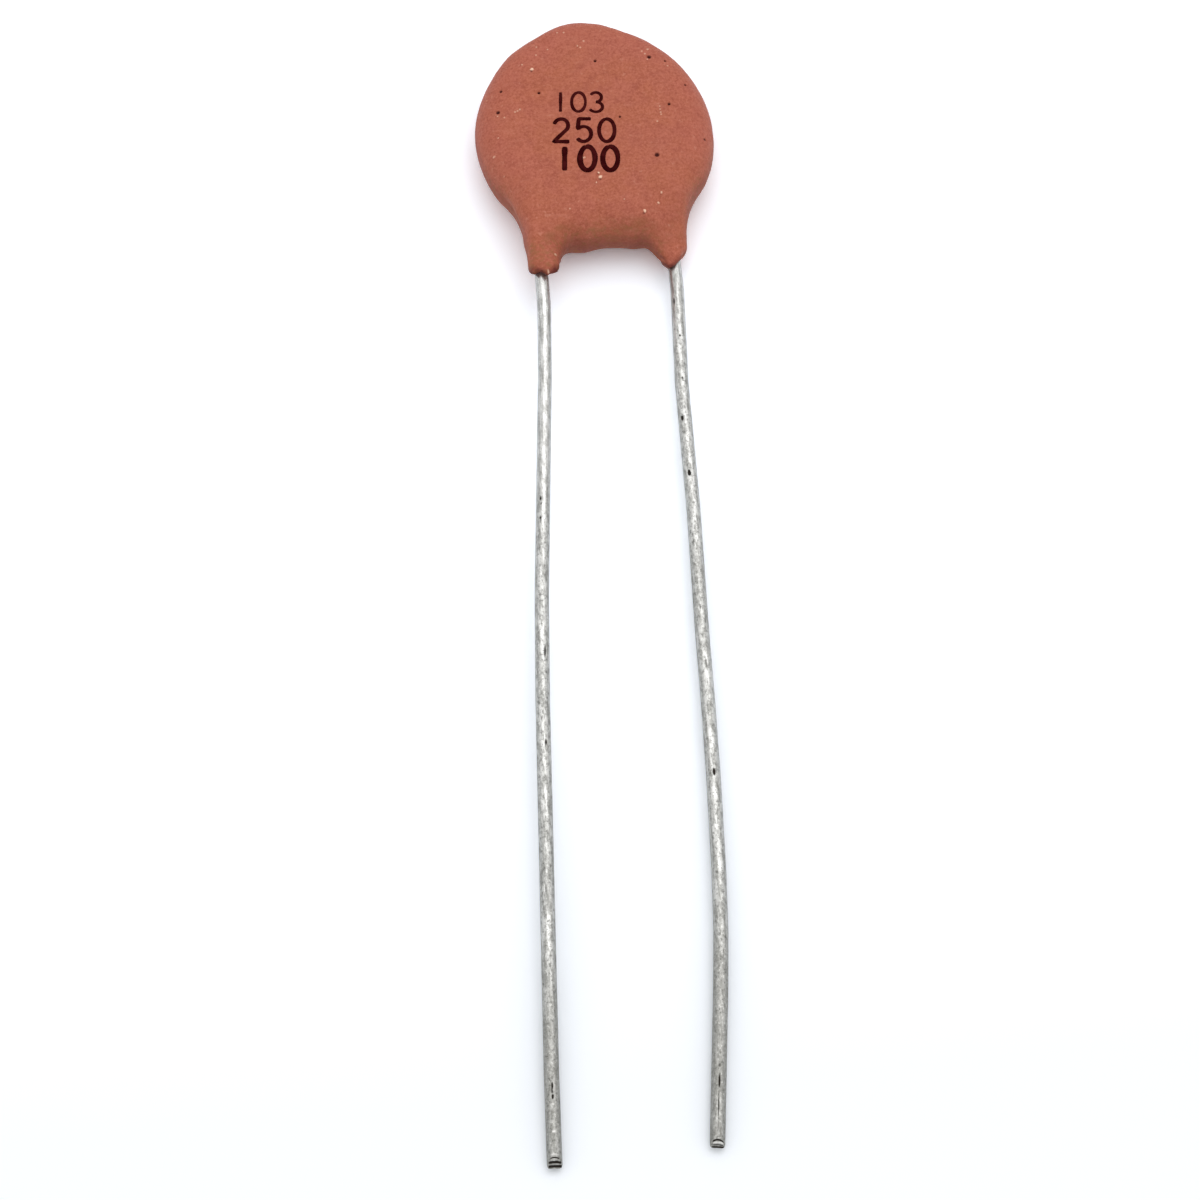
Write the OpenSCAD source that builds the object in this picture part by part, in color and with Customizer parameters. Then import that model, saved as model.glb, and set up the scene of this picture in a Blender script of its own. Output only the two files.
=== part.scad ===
// Disc ceramic capacitor with two wire leads, lying on its flat underside.
// The origin is on the underside, below the middle of the disc. The leads run along -Y and +Z is up.

/* [Ceramic] */
// Diameter of the ceramic disc
ceramic_d = 9.6; // [8.6:0.1:14]
// Thickness of the ceramic disc
ceramic_t = 0.5; // [0.3:0.05:1.5]
// Bare margin of ceramic round each electrode
electrode_margin = 0.4; // [0.2:0.05:0.5]
// Thickness of each electrode film
electrode_t = 0.05; // [0.03:0.01:0.1]

/* [Leads] */
// Diameter of the wire
lead_d = 0.64; // [0.4:0.01:0.8]
// Distance between the two leads
lead_pitch = 6.35; // [5:0.05:6.5]
// Length of the left lead, from the bend below its leg to the cut end
left_lead_l = 40.7; // [25:0.1:60]
// Length of the right lead, from the bend below its leg to the cut end
right_lead_l = 41.4; // [25:0.1:60]
// Radius of the wire's axis in its kinks
kink_r = 12; // [6:1:20]
// Straight wire below a leg, before the bend that lays the lead down
exit_run = 0.3; // [0.2:0.05:1]
// Angle between the wire's axis and each face of its pinched end
cut_angle = 42; // [35:1:80]

/* [Solder] */
// Solder over a lead
bead_cover = 0.09; // [0.05:0.01:0.2]
// Solder between a lead and its electrode
solder_film = 0.05; // [0.03:0.01:0.1]
// Bare electrode beyond the end of a lead
lead_margin = 0.2; // [0.1:0.05:0.5]

/* [Coating] */
// Coating beyond the edge of the ceramic
rim_wall = 0.88; // [0.6:0.01:2]
// Coating over a lead, on each face
face_wall = 0.6; // [0.4:0.05:1.5]
// Width of the rounded rim
rim_round = 1.5; // [0.8:0.1:2]
// Height of the drip crown at the far end
drip_h = 0.8; // [0:0.01:1.5]
// Angle over which the crown fades into the disc on the left
drip_left = 48; // [20:1:60]
// Angle over which the crown fades into the disc on the right
drip_right = 30; // [20:1:60]
// Lean of the crown to the left
drip_lean = 3; // [-15:1:15]
// Fullness of the disc above the right shoulder
belly_h = 0.2; // [0:0.02:0.5]
// Reach of the web below the disc, between the legs
web_drop = 0.2; // [0.1:0.05:0.8]
// Reach of the left leg below the disc
left_leg = 1.95; // [1.2:0.05:4]
// Reach of the right leg below the disc
right_leg = 1.35; // [1.2:0.05:4]
// Coating round a lead, at the tip of its leg
leg_wall = 0.34; // [0.25:0.01:0.6]
// Rounded corner of the left leg's tip
left_round = 0.1; // [0.05:0.01:0.3]
// Rounded corner of the right leg's tip
right_round = 0.3; // [0.05:0.01:0.32]
// Rise of the right leg's tip, towards its outer side, for each unit across
right_slant = 0.45; // [0:0.05:0.6]
// Where the shoulders leave the disc, from the crown
shoulder_angle = 122; // [110:1:130]
// How quickly the shoulders narrow into the legs
shoulder_flare = 2.4; // [1.5:0.1:3]
// How late the faces bend down or up to the leads
leg_fall = 1.8; // [1:0.1:2.5]

/* [Hidden] */
$fn = 64;

// Each kink of a lead: its share of the length from the bend below the leg, and its turn towards +X
left_kinks = [[0.0125, -4], [0.108, -1.3], [0.378, 1.2], [0.501, 0.8], [0.904, 0.7]];
right_kinks = [[0.0125, -3.4], [0.136, 2.3], [0.295, -1.2], [0.443, 0.8], [0.525, -0.7], [0.612, -0.8],
               [0.714, -1.4], [0.777, -2], [0.84, -0.9]];

lead_r = lead_d / 2;
kink_lap = 0.5;    // degrees that a kink reaches into each run beside it
kink_neck = 0.01;  // drop in the wire's radius in a kink, where bending draws it thinner
swell_fall = 1.5;  // power that shapes a swelling's flanks
belly_spread = 25; // angle over which the fullness above the right shoulder fades
lead_rise = ceramic_t / 2 + electrode_t + solder_film + lead_r; // from the disc's mid-plane to a lead's axis
mid_z = lead_rise + lead_r + face_wall;                         // from the underside to the mid-plane
electrode_r = ceramic_d / 2 - electrode_margin;
coat_r = ceramic_d / 2 + rim_wall;
lead_top = sqrt(pow(electrode_r, 2) - pow(lead_pitch / 2, 2)) - lead_margin;
bead_r = lead_d + solder_film + bead_cover;
bead_run = lead_top / 2; // from the middle of a bead to where it tapers

// side is -1 for the left lead, on the upper face, and 1 for the right lead, on the lower face
function lead_x(side) = side * lead_pitch / 2;
function lead_z(side) = mid_z - side * lead_rise;
function leg_tip(side) = -coat_r - (side < 0 ? left_leg : right_leg);
function lead_l(side) = side < 0 ? left_lead_l : right_lead_l;
function kinks(side) = [for (k = side < 0 ? left_kinks : right_kinks) [k[0] * lead_l(side), k[1]]];
function tip_round(side) = side < 0 ? left_round : right_round;
function tip_slant(side) = side < 0 ? 0 : right_slant;

// Steps of the coating's skin: across a rim, along a flat, along the disc and along a leg
rim_steps = 5;
flat_steps = 2;
disc_steps = 22;
leg_steps = 10;
tip_steps = 2;

across = 2 * rim_steps + flat_steps; // steps over a face, from rim to rim
crotch = 2 * (flat_steps + rim_steps); // steps round the web, from the upper face to the lower

function blend(a, b, s) = a + (b - a) * s;
function ease(s) = s * s * (3 - 2 * s);
function bulge(d) = d < 1 ? sqrt(1 - pow(1 - d, 2)) : 1; // height of a rounded rim, at a share of its width

// A swelling of the disc's edge, h high, which fades over the spread to each side
function swell(h, off, spread) = h * exp(-pow(abs(off) / spread, swell_fall));

// The disc's edge, at an angle from the crown, positive to the left
function edge_r(angle) =
    let (off = angle - drip_lean)
    coat_r + swell(drip_h, off, off > 0 ? drip_left : drip_right)
    + swell(belly_h, angle + shoulder_angle, belly_spread);
function edge(angle) = edge_r(angle) * [-sin(angle), cos(angle)];

// Distance from the rim and share of the full height, at a step in from it
function rim_in(i, w) = w * (1 - cos(90 * min(i, rim_steps) / rim_steps));
function rim_up(i) = sin(90 * min(i, rim_steps) / rim_steps);

// One line over a face, from the left edge to the right, half_t high in the middle
function face_line(left, right, half_t) =
    let (width = norm(right - left), w = min(rim_round, width / 2))
    [for (i = [0 : across])
        let (near = min(i, across - i),
             d = near < rim_steps ? rim_in(near, w) : blend(w, width - w, (i - rim_steps) / flat_steps),
             s = (near < rim_steps && i > near ? width - d : d) / width,
             p = blend(left, right, s))
        [p.x, p.y, half_t * rim_up(near)]];

function flipped(line) = [for (p = line) [p.x, p.y, -p.z]];
function reversed(line) = [for (i = [len(line) - 1 : -1 : 0]) line[i]];
function part_of(line, a, b) = [for (i = [a : a < b ? 1 : -1 : b]) line[i]];

// One closed ring round the disc, over the upper face and back under the lower
function disc_ring(step) =
    let (angle = shoulder_angle * step / disc_steps,
         left = edge(angle),
         right = edge(-angle),
         half_t = mid_z * bulge((edge_r(0) - (left.y + right.y) / 2) / rim_round),
         line = face_line(left, right, half_t))
    concat(line, flipped(part_of(line, across - 1, 1)));

// The web's profile below the middle of the last ring, from the upper face to the lower
function web_line(top) =
    let (low = -coat_r - web_drop,
         upper = [for (j = [1 : flat_steps + rim_steps])
             j < flat_steps
                 ? [top.x, blend(top.y, low + rim_round, j / flat_steps), top.z]
                 : let (i = flat_steps + rim_steps - j)
                   [top.x, low + rim_in(i, rim_round), top.z * rim_up(i)]])
    concat(upper, flipped(part_of(upper, len(upper) - 2, 0)));

// A point of a leg's first ring, carried s of the way to its place k round the leg's tip
function leg_point(p, k, count, s, side) =
    let (angle = 90 - side * 90 - 360 * k / count,
         r = lead_r + leg_wall,
         inner = 1 - abs(p.x) / coat_r)
    [blend(p.x, lead_x(side) + r * cos(angle), 1 - pow(1 - s, shoulder_flare)),
     blend(p.y, leg_tip(side) + tip_round(side) + tip_slant(side) * r * cos(angle), pow(s, 1 + inner / 2)),
     blend(p.z, -side * lead_rise + r * sin(angle), ease(pow(s, leg_fall)))];

// The leg's last rings, which round off its tip
function tip_ring(step, count, side) =
    let (turn = 90 * step / tip_steps,
         r = lead_r + leg_wall - tip_round(side) * (1 - cos(turn)))
    [for (k = [0 : count - 1])
        let (angle = 90 - side * 90 - 360 * k / count)
        [lead_x(side) + r * cos(angle),
         leg_tip(side) + tip_round(side) * (1 - sin(turn)) + tip_slant(side) * r * cos(angle),
         -side * lead_rise + r * sin(angle)]];

function strip(a, b) =
    [for (k = [0 : len(a) - 1])
        let (j = (k + 1) % len(a))
        each [[a[k], a[j], b[j]], [a[k], b[j], b[k]]]];

function strips(rows) = [for (i = [0 : len(rows) - 2]) each strip(rows[i], rows[i + 1])];

// The dipped skin: rings down the disc, which part at the web into the two legs
module dipped_skin() {
    ring_size = 2 * across;
    rings = [for (step = [1 : disc_steps]) disc_ring(step)];
    last = rings[disc_steps - 1];
    web = web_line(last[across / 2]);
    leg_size = across + crotch;
    disc_points = concat([[0, edge_r(0), 0]], [for (ring = rings) each ring], web);
    web_start = len(disc_points) - len(web);

    // The ring that starts each leg, from its outer edge over the upper face
    last_row = [for (i = [0 : ring_size - 1]) web_start - ring_size + i];
    web_row = [for (i = [0 : len(web) - 1]) web_start + i];
    left_row = concat(part_of(last_row, 0, across / 2), web_row, part_of(last_row, across * 3 / 2, ring_size - 1));
    right_row = concat(part_of(last_row, across, across * 3 / 2), reversed(web_row),
                       part_of(last_row, across / 2, across - 1));

    function leg_points(row, side) = concat(
        [for (step = [1 : leg_steps], k = [0 : leg_size - 1])
            leg_point(disc_points[row[k]], k, leg_size, step / leg_steps, side)],
        [for (step = [1 : tip_steps]) each tip_ring(step, leg_size, side)]);
    function leg_rows(row, start) = concat([row],
        [for (step = [0 : leg_steps + tip_steps - 1]) [for (k = [0 : leg_size - 1]) start + step * leg_size + k]]);

    left_points = leg_points(left_row, -1);
    right_points = leg_points(right_row, 1);
    left_rows = leg_rows(left_row, len(disc_points));
    right_rows = leg_rows(right_row, len(disc_points) + len(left_points));
    disc_rows = [for (step = [0 : disc_steps - 1]) [for (i = [0 : ring_size - 1]) 1 + step * ring_size + i]];

    translate([0, 0, mid_z])
        polyhedron(
            points = concat(disc_points, left_points, right_points),
            faces = concat(
                [for (i = [0 : ring_size - 1]) [0, disc_rows[0][(i + 1) % ring_size], disc_rows[0][i]]],
                strips(disc_rows), strips(left_rows), strips(right_rows),
                [left_rows[leg_steps + tip_steps], right_rows[leg_steps + tip_steps]]));
}

// Wire along +X
module wire(l) {
    rotate([0, 90, 0]) cylinder(h = l, r = lead_r);
}

// Wire that turns towards +Y through the angle, with what follows it. It is a little slimmer than the straight
// runs, and reaches into them at both ends.
module kink(angle) {
    mirror([0, angle < 0 ? 1 : 0, 0]) translate([0, kink_r, 0]) {
        rotate([0, 0, -90 - kink_lap])
            rotate_extrude(angle = abs(angle) + 2 * kink_lap)
                translate([kink_r, 0]) circle(r = lead_r - kink_neck);
        rotate([0, 0, abs(angle)]) translate([0, -kink_r, 0])
            mirror([0, angle < 0 ? 1 : 0, 0]) children();
    }
}

function kink_l(angle) = kink_r * abs(angle) * PI / 180;

// Wire from a distance along a lead to its end, with the kinks still to come
module kinked_wire(side, i, from) {
    if (i < len(kinks(side))) {
        at = kinks(side)[i][0];
        turn = kinks(side)[i][1];
        wire(at - from);
        translate([at - from, 0, 0]) kink(turn) kinked_wire(side, i + 1, at + kink_l(turn));
    } else {
        pinched_end(lead_l(side) - from);
    }
}

// The last run of wire, pinched off between two faces that meet in a level ridge
module pinched_end(l) {
    difference() {
        wire(l);
        for (face = [0, 1])
            translate([l, 0, 0]) mirror([0, 0, face]) rotate([0, cut_angle - 90, 0])
                translate([0, -lead_d, -lead_d]) cube([2 * lead_d, 2 * lead_d, 4 * lead_d]);
    }
}

// How far forward a lead reaches past its first bend, in the plane that it lies in
function reach(side, i, from, heading) =
    i == len(kinks(side))
        ? (lead_l(side) - from) * cos(heading)
        : let (at = kinks(side)[i][0], turn = kinks(side)[i][1])
          (at - from) * cos(heading) + kink_r * abs(sin(heading + turn) - sin(heading))
          + reach(side, i + 1, at + kink_l(turn), heading + turn);

// Slope that brings a lead's end down to rest on the surface that the disc lies on
function slope(side) =
    let (run = reach(side, 0, 0, 0))
    atan2(kink_r, run) + asin((lead_z(side) - lead_r - kink_r) / norm([run, kink_r]));

module lead_shank(side) {
    translate([lead_x(side), lead_top, lead_z(side)]) rotate([0, 0, -90])
        wire(lead_top - leg_tip(side) + exit_run);
}

module lead(side) {
    lead_shank(side);
    translate([lead_x(side), leg_tip(side) - exit_run, lead_z(side)]) rotate([0, 0, -90])
        rotate([-90, 0, 0]) kink(slope(side)) rotate([90, 0, 0])
            kinked_wire(side, 0, 0);
}

module electrode(side) {
    translate([0, 0, mid_z - side * (ceramic_t + electrode_t) / 2])
        cylinder(h = electrode_t, r = electrode_r, center = true);
}

// A half-round bead along the lead, flat on the electrode and tapered at both ends
module bead(side) {
    translate([lead_x(side), 0, mid_z - side * (ceramic_t / 2 + electrode_t)])
        rotate([90, side < 0 ? 0 : 180, 0])
            rotate_extrude(angle = 180)
                polygon([[0, -bead_run - bead_r], [bead_r / 2, -bead_run - bead_r], [bead_r, -bead_run],
                         [bead_r, bead_run], [bead_r / 2, bead_run + bead_r], [0, bead_run + bead_r]]);
}

module disc() {
    translate([0, 0, mid_z]) cylinder(h = ceramic_t, d = ceramic_d, center = true);
}

module coating() {
    color([0.7, 0.41, 0.33])
        difference() {
            dipped_skin();
            disc();
            for (side = [-1, 1]) {
                electrode(side);
                bead(side);
                lead_shank(side);
            }
        }
}

module ceramic_disc() {
    color([0.72, 0.62, 0.5]) disc();
}

module upper_electrode() {
    color([0.85, 0.85, 0.83]) electrode(-1);
}

module lower_electrode() {
    color([0.85, 0.85, 0.83]) electrode(1);
}

module solder(side) {
    difference() {
        bead(side);
        lead_shank(side);
    }
}

module upper_solder() {
    color([0.66, 0.67, 0.68]) solder(-1);
}

module lower_solder() {
    color([0.66, 0.67, 0.68]) solder(1);
}

module left_lead() {
    color([0.8, 0.8, 0.78]) lead(-1);
}

module right_lead() {
    color([0.8, 0.8, 0.78]) lead(1);
}

coating();
ceramic_disc();
upper_electrode();
lower_electrode();
upper_solder();
lower_solder();
left_lead();
right_lead();
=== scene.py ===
import math

import bmesh
import bpy
import numpy as np
from mathutils import Matrix, Vector, noise
from mathutils.bvhtree import BVHTree


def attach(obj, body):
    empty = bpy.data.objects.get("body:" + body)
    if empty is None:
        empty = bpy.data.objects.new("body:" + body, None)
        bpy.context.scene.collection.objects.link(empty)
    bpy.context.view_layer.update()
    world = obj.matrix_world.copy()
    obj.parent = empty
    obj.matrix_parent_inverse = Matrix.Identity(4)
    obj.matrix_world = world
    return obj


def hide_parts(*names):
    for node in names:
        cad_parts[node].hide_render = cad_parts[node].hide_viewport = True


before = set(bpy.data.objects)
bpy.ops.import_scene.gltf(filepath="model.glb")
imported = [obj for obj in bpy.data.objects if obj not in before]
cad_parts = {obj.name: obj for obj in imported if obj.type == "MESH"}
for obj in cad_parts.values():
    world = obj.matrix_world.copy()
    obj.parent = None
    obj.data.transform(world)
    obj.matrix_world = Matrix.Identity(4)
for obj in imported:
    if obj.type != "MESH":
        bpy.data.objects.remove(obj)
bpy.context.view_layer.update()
scene = bpy.context.scene
mm = 0.001
noise.seed_set(7)
print("stage: frame loaded")


# camera: the photograph's view, in the object's frame, lengths in millimetres
view = {"target": (-1.834, -23.711, 0.0), "distance": 115.3, "elevation": 65.0, "turn": 5.05,
        "lens": 77.07, "sensor": 36.0, "clip": 5.0}

down, turn = math.radians(view["elevation"]), math.radians(view["turn"])
forward = Vector((math.cos(down) * math.sin(turn), math.cos(down) * math.cos(turn), -math.sin(down)))
right = Vector((math.cos(turn), -math.sin(turn), 0))
above = right.cross(forward)
cameraData = bpy.data.cameras.new("camera")
cameraData.lens = view["lens"]
cameraData.sensor_width = view["sensor"]
cameraData.clip_start = view["clip"] * mm
camera = bpy.data.objects.new("camera", cameraData)
axes = Matrix((right, above, -forward)).transposed().to_4x4()
camera.matrix_world = Matrix.Translation((Vector(view["target"]) - forward * view["distance"]) * mm) @ axes
scene.collection.objects.link(camera)
scene.camera = camera
print("stage: camera")


# helpers
def ease(a, b, x):
    t = min(max((x - a) / (b - a), 0.0), 1.0)
    return t * t * (3 - 2 * t)


def dome(distance, radius):
    return max(0.0, 1 - (distance / radius) ** 2) ** 2


def makePiece(name, mesh, material, slotName, *nodes):
    piece = bpy.data.objects.new(name, mesh)
    scene.collection.objects.link(piece)
    mesh.materials.clear()
    mesh.materials.append(material)
    mesh.shade_smooth()
    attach(piece, "root")
    if nodes:
        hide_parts(*nodes)


def startMaterial(name):
    material = bpy.data.materials.new(name)
    material.use_nodes = True
    tree = material.node_tree
    return material, tree, tree.nodes["Principled BSDF"]


def addNode(tree, kind, inputs=None, **settings):
    node = tree.nodes.new("ShaderNode" + kind)
    for key, value in settings.items():
        setattr(node, key, value)
    for key, value in (inputs or {}).items():
        if hasattr(value, "is_output"):
            tree.links.new(value, node.inputs[key])
        else:
            node.inputs[key].default_value = value
    return node


def addMath(tree, operation, first, second):
    return addNode(tree, "Math", {0: first, 1: second}, operation=operation).outputs[0]


def addNoise(tree, scale, detail, stretch=(1, 1, 1), rough=0.55):
    place = addNode(tree, "TexCoord").outputs["Object"]
    mapped = addNode(tree, "Mapping", {"Vector": place, "Scale": stretch})
    return addNode(tree, "TexNoise", {"Vector": mapped.outputs[0], "Scale": scale, "Detail": detail,
                                      "Roughness": rough}).outputs["Fac"]


def addRange(tree, value, low, high, newLow, newHigh):
    return addNode(tree, "MapRange", {"Value": value, "From Min": low, "From Max": high, "To Min": newLow,
                                      "To Max": newHigh}).outputs[0]


def addTint(tree, factor, first, second):
    node = addNode(tree, "Mix", {0: factor}, data_type="RGBA")
    for index, colour in ((6, first), (7, second)):
        if hasattr(colour, "is_output"):
            tree.links.new(colour, node.inputs[index])
        else:
            node.inputs[index].default_value = (*colour, 1)
    return node.outputs[2]


def addLayers(tree, colour, layers):  # each layer: value, where it starts, where it is full, share, tint
    for value, start, full, share, tint in layers:
        colour = addTint(tree, addRange(tree, value, start, full, 0, share), colour, tint)
    return colour


def addBump(tree, shader, height, distance, strength):
    bump = addNode(tree, "Bump", {"Height": height, "Distance": distance, "Strength": strength})
    tree.links.new(bump.outputs[0], shader.inputs["Normal"])


def readPoint(tree, name):
    return addNode(tree, "Attribute", attribute_name=name).outputs["Fac"]


def writePoint(mesh, name, values):
    layer = mesh.attributes.new(name, "FLOAT", "POINT")
    layer.data.foreach_set("value", np.asarray(values, np.float32))


# coating: the dipped skin, millimetres
coat = {
    "midZ": 1.59, "voxel": 0.066,
    # hollow inside the solid: disc, beads and wires
    "hollowR": 4.9, "hollowHalf": 0.33, "beadReach": 2.4, "beadRise": 0.3, "beadR": 0.8,
    "leadX": 3.175, "leadRise": 0.67, "leadR": 0.332, "leadStart": 3.2,
    # rounds of smoothing, and the ranges of the disc and the crotches
    "roundsAll": 10, "roundsDisc": 70, "roundsCrotch": 60,
    "discY": -5.6, "crotchY": (-6.9, -5.5), "crotchX": (1.5, 2.75),
    # finer mesh around the spots: margin, height over the middle, cuts
    "fineMargin": 0.05, "fineRise": 0.3, "fineCuts": 2,
    # surface: outward step, waves as height and frequency, depth and rise of the spots
    "grow": 0.03, "waves": [(0.035, 0.45), (0.009, 1.9), (0.005, 5.5)], "flatZ": 0.25,
    "holeDepth": 0.11, "speckRise": 0.055, "dustRise": 0.012, "speckWander": (0.06, 6),
    # the painted shadow beside each speck, to the left and below; the stains lie flat
    "shadeShift": (0.04, 0.75), "shadeShare": 0.5, "dustShare": 0.5, "stainSquash": 1.6,
    # pinholes: x, y, radius
    "pinholes": [(-4.32, 2.05, 0.1), (-4.55, 0.85, 0.13), (-2.52, 1.78, 0.1), (2.94, 3.41, 0.14),
                 (3.63, 0.59, 0.1), (2.77, -2.27, 0.16), (0.32, 3.41, 0.1), (5.16, -1.28, 0.09),
                 (1.22, 0.05, 0.08), (3.69, 3.18, 0.08), (4.54, 1.76, 0.08)],
    # raised specks of dried resin, given a painted highlight: x, y, radius, level
    "specks": [(-2.75, 3.15, 0.13, 1.0), (-1.37, 5.22, 0.1, 0.5), (-0.43, 4.31, 0.12, 0.5),
               (2.89, 3.89, 0.12, 0.5), (-4.91, -1.48, 0.12, 0.65), (-0.69, -2.14, 0.12, 0.5),
               (0.0, -3.3, 0.14, 1.0), (-0.06, -3.06, 0.09, 1.0), (-0.25, -3.59, 0.09, 0.7),
               (1.9, -5.21, 0.13, 1.0), (2.61, -4.73, 0.1, 0.75), (2.8, -4.25, 0.12, 0.65),
               (-2.64, -7.1, 0.12, 0.75), (-3.0, -7.5, 0.1, 0.6), (-3.5, 0.87, 0.12, 0.5),
               (-4.66, -0.59, 0.09, 0.5)],
    # pale dust: x, y, radius
    "dust": [(-1.05, 5.18, 0.11), (-2.43, 4.56, 0.1), (-1.91, 4.29, 0.09), (-2.49, 4.02, 0.1),
             (-3.2, 3.47, 0.1), (-0.13, 4.58, 0.11), (-0.32, 4.22, 0.1), (-3.74, 0.75, 0.11),
             (-3.62, 0.8, 0.1), (-4.58, 0.63, 0.09), (-4.27, 0.49, 0.09), (-5.01, 1.83, 0.09),
             (2.62, 3.79, 0.1), (2.75, 3.61, 0.11), (2.84, 3.26, 0.09), (3.78, 2.85, 0.09),
             (3.17, 0.48, 0.08), (3.17, 0.31, 0.09), (3.18, 0.13, 0.1), (3.19, 0.01, 0.09),
             (2.97, -0.37, 0.1), (-4.5, -2.6, 0.09), (1.0, -4.6, 0.08), (-1.6, -4.9, 0.09),
             (3.0, -5.6, 0.09)],
    # brown stains near the web: x, y, radius
    "stains": [(1.54, -5.7, 0.6), (0.7, -5.85, 0.55), (-2.19, -5.9, 0.5), (-2.7, -6.2, 0.5)],
    # from here on a pair for x, y, z or a tilt is where a form starts and where it is full
    # the crown's flats and its blunt peak: x, rise
    "crown": [(-4.6, 0.08), (-2.6, -0.13), (-0.6, 0.06), (1.8, -0.13), (2.6, -0.05), (3.6, -0.06)],
    "crownWidth": 1.3, "crownY": (3.2, 5.0),
    # left leg: the foot leans inwards, and a ragged lip, as x and rise, hangs over the wire
    "leftLeg": {"startY": -4.3, "lean": 0.1, "leanX": (-1.2, -2.6), "leanY": (-4.3, -5.4),
                "heel": 0.1, "heelX": (-3.2, -2.6), "heelY": (-6.3, -7.0),
                "tipY": (-7.2, -7.55), "lipShift": 0.12, "lipWave": (0.03, 7), "lipDrop": 0.1, "most": 0.2,
                "wireZ": 2.26,
                "lip": [(-3.72, 0.055), (-3.595, -0.04), (-3.44, 0.0), (-3.31, 0.09), (-3.18, 0.12),
                        (-3.02, 0.025), (-2.9, -0.09), (-2.77, -0.04), (-2.52, 0.0), (-2.42, 0.09)]},
    # right leg: a rounded point beside the wire's inner edge
    "rightLeg": {"startY": -5.4, "inward": 0.1, "innerX": (2.7, 2.3), "innerY": (-6.2, -6.8),
                 "pull": 0.17, "outerX": (3.4, 3.8), "outerY": (-6.1, -6.7),
                 "tipY": (-6.3, -6.95), "pointX": 2.86, "outerRise": 0.34, "innerRise": 1.1,
                 "lipMost": 0.4, "lipWave": (0.05, 3.1), "most": 0.42, "wireZ": 0.92},
    # how far the lips hang over: step along the wire for each height
    "overhang": 0.5, "overhangRun": 0.66,
    # the flank draws in below the left leg's root
    "flank": {"step": (0.16, 0.1, 0), "y": -4.25, "reach": 1.6, "x": (-3.0, -3.6), "z": (2.5, 1.9)},
    # the web's corners beside the legs: x, y, reach, rise
    "leftCorner": (-1.75, -6.2, 0.95, 0.3), "rightCorner": (1.95, -6.1, 0.75, 0.24),
    # painted shade on the lips that hang over the wires and on the upright sides; what faces up has a tilt
    # of one
    "grime": {"leftY": (-7.33, -7.47), "bulge": 0.08, "bulgeX": -3.15, "bulgeReach": 0.5,
              "rightFacing": (-0.25, -0.6), "rightY": (-6.6, -6.8), "upright": (0.5, 0.05), "share": 0.4},
    # other marks: painted shade on the web's front and on the left leg, painted shade on the web's lower
    # edge, and the disc's outer ring
    "legShade": {"share": 0.55, "y": (-5.9, -6.9), "x": (-1.5, -2.5)},
    "edgeShade": {"tilt": (0.25, -0.45), "facing": (-0.35, -0.7), "x": (2.3, 1.9)},
    "outerMark": {"r": (3.2, 5.2), "y": (-4, -1)},
    # colours
    "base": (0.415, 0.113, 0.068), "pale": (0.50, 0.155, 0.10), "deep": (0.31, 0.072, 0.042),
    "cool": (0.40, 0.117, 0.078), "warm": (0.43, 0.128, 0.058), "outerColour": (0.44, 0.122, 0.088),
    # the web colour at the end of the next line is painted shade on the forward-facing sides and the left
    # leg
    "brushed": (0.52, 0.185, 0.125), "powder": (0.56, 0.22, 0.15), "webColour": (0.25, 0.066, 0.038),
    # the edge colour below is painted shade on the web's lower edge
    "smearColour": (0.26, 0.118, 0.042), "edgeShadeColour": (0.085, 0.027, 0.034),
    # the rim colour below is painted shade on the lips and the upright sides
    "rimColour": (0.08, 0.01, 0.01), "stainColour": (0.25, 0.095, 0.035),
    # the pit colour below darkens the pinholes and paints each speck's shadow; the fleck colour is pale
    # dust and a painted highlight on the specks
    "holeAndShadowColour": (0.05, 0.004, 0.004), "glintAndDustColour": (0.95, 0.63, 0.46),
    "specular": 0.15,
}


def isCavity(place):  # on the hollow that the disc, its films, the beads and the wires fill
    z = place.z - coat["midZ"]
    if math.hypot(place.x, place.y) < coat["hollowR"] and abs(z) < coat["hollowHalf"]:
        return True
    for side in (-1, 1):
        x = place.x - side * coat["leadX"]
        if abs(place.y) < coat["beadReach"] and math.hypot(x, z + side * coat["beadRise"]) < coat["beadR"]:
            return True
        if place.y < coat["leadStart"] and math.hypot(x, z + side * coat["leadRise"]) < coat["leadR"]:
            return True
    return False


def smoothSkin(mesh, verts, rounds):
    for turnNumber in range(rounds):
        bmesh.ops.smooth_vert(mesh, verts=verts, factor=0.5, use_axis_x=True, use_axis_y=True,
                              use_axis_z=True)


# closed outer skin, from the solid's own surface
skin = bmesh.new()
skin.from_mesh(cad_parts["coating"].data)
bmesh.ops.transform(skin, matrix=Matrix.Scale(1 / mm, 4), verts=skin.verts)
bmesh.ops.remove_doubles(skin, verts=skin.verts, dist=0.002)
inner = [f for f in skin.faces if isCavity(f.calc_center_median())]
bmesh.ops.delete(skin, geom=inner, context="FACES")
bmesh.ops.holes_fill(skin, edges=[e for e in skin.edges if e.is_boundary], sides=0)
bmesh.ops.recalc_face_normals(skin, faces=skin.faces)
openEdges = sum(e.is_boundary for e in skin.edges)
print("coating: inner faces taken out", len(inner), "open edges left", openEdges)
rough = bpy.data.meshes.new("skinRough")
skin.to_mesh(rough)
skin.free()
stand = bpy.data.objects.new("skinRough", rough)
scene.collection.objects.link(stand)
remesh = stand.modifiers.new("remesh", "REMESH")
remesh.mode = "VOXEL"
remesh.voxel_size = coat["voxel"]
remesh.adaptivity = 0
even = bpy.data.meshes.new_from_object(stand.evaluated_get(bpy.context.evaluated_depsgraph_get()))
bpy.data.objects.remove(stand)

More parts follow.
